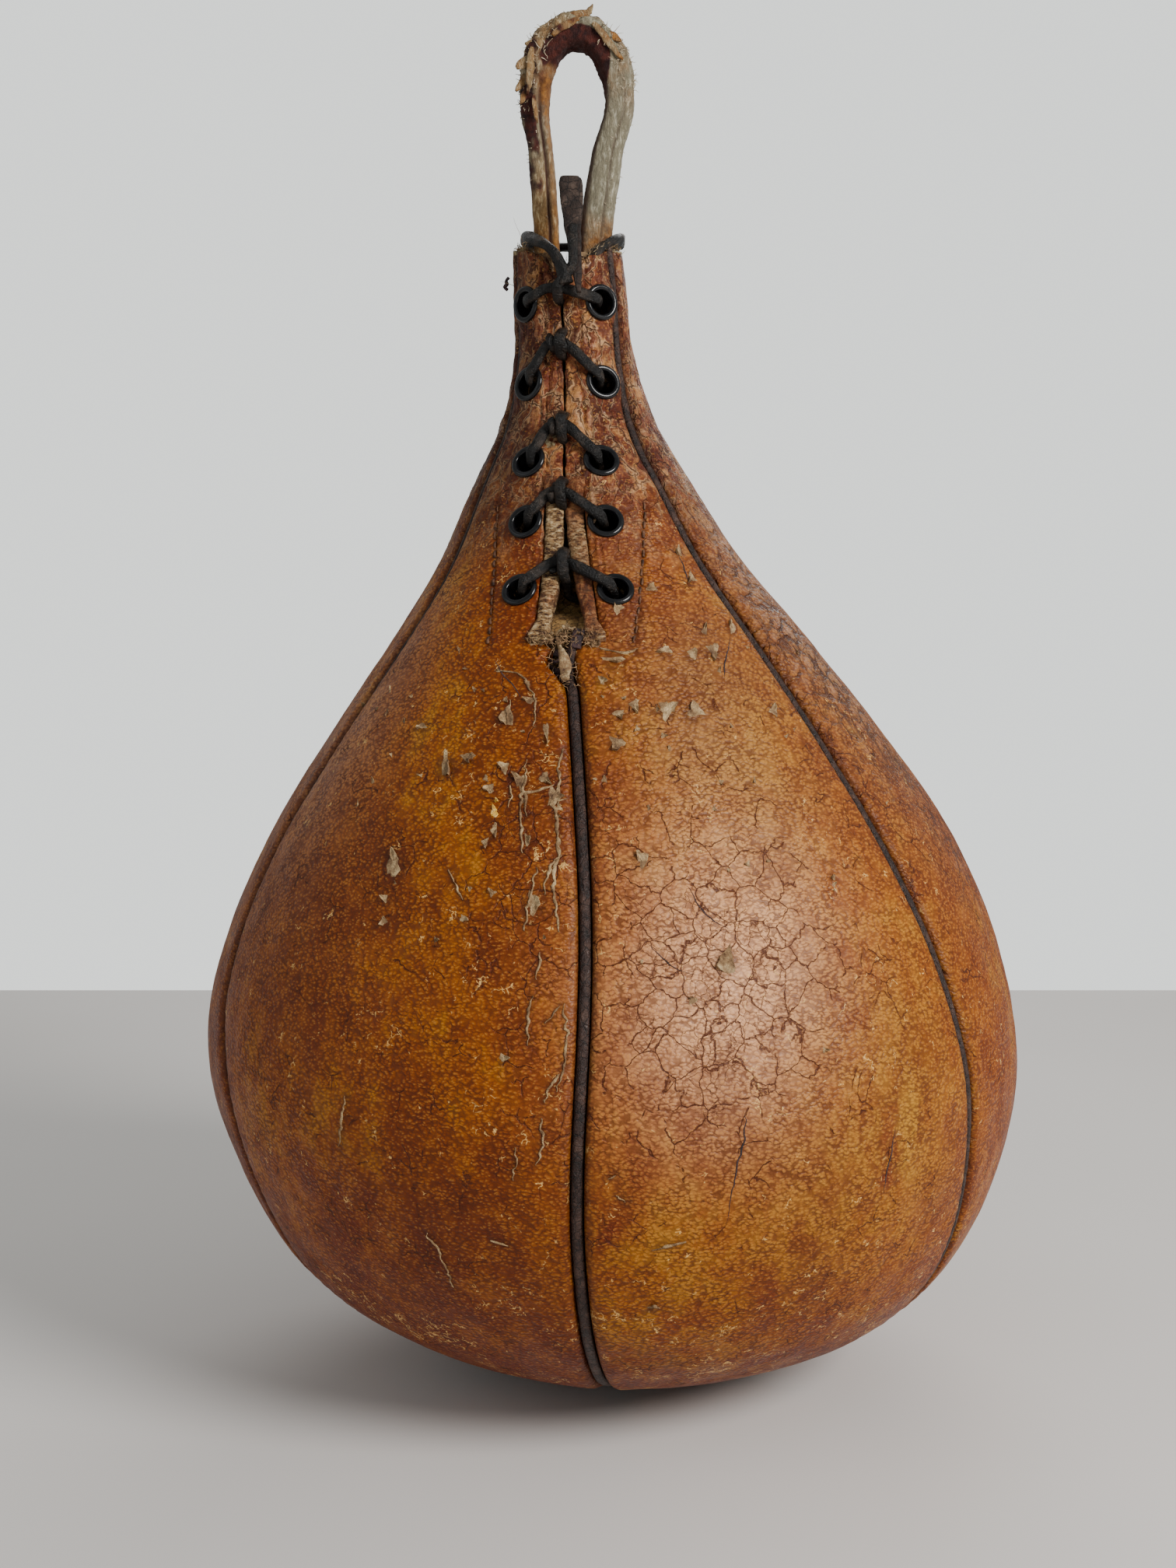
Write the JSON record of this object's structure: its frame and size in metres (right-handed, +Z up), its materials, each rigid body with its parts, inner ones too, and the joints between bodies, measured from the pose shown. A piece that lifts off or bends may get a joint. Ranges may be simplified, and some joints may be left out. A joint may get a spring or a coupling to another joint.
{
  "type": "speed bag",
  "caption": "Teardrop leather speed bag of sewn gores with dark welts, a laced neck with eyelets, a leather hanging loop and a rubber bladder inside.",
  "frame": {"origin": "on the table, on the flat underside of the bag, under the middle of its body", "axes": "+Z up through the neck to the hanging loop, -Y towards the laced slit, +X to the right of someone facing the slit"},
  "size_m": [0.2221, 0.2231, 0.3742],
  "materials": {
    "panel_leather": "worn, pebbled, satin",
    "welt_leather": "dull",
    "lip_leather": "raw, wrinkled",
    "facing_leather": "raw",
    "tongue_leather": "raw",
    "lace_leather": "waxed, worn",
    "loop_leather": "raw, frayed",
    "black_enamel": "gloss",
    "bladder_rubber": "dull",
    "twine": "dull"
  },
  "bodies": {
    "bag": {"panel_front_right": "panel_leather", "panel_right": "panel_leather", "panel_back_right": "panel_leather", "panel_back_left": "panel_leather", "panel_left": "panel_leather", "panel_front_left": "panel_leather", "welt_front": "welt_leather", "welt_right": "welt_leather", "welt_back_right": "welt_leather", "welt_back": "welt_leather", "welt_back_left": "welt_leather", "welt_left": "welt_leather", "lip_left": "lip_leather", "facing_left": "facing_leather", "loop_tail_left": "loop_leather", "eyelet_left_1": "black_enamel", "eyelet_left_2": "black_enamel", "eyelet_left_3": "black_enamel", "eyelet_left_4": "black_enamel", "eyelet_left_5": "black_enamel", "lip_right": "lip_leather", "facing_right": "facing_leather", "loop_tail_right": "loop_leather", "eyelet_right_1": "black_enamel", "eyelet_right_2": "black_enamel", "eyelet_right_3": "black_enamel", "eyelet_right_4": "black_enamel", "eyelet_right_5": "black_enamel", "tongue": "tongue_leather", "lace": "lace_leather", "lace_end": "lace_leather", "collar_thong": "lace_leather", "bladder": "bladder_rubber", "bladder_tie": "twine", "base_patch": "facing_leather"},
    "loop": {"hanging_loop": "loop_leather"}
  },
  "joints": [
    {"name": "loop_flex", "type": "hinge", "parent": "bag", "child": "loop", "pos_m": [-0.0116, 0.002, 0.312], "axis": [1, 0, 0], "range_deg": [-20, 20], "stiffness_Nm_per_rad": 0.08}
  ]
}
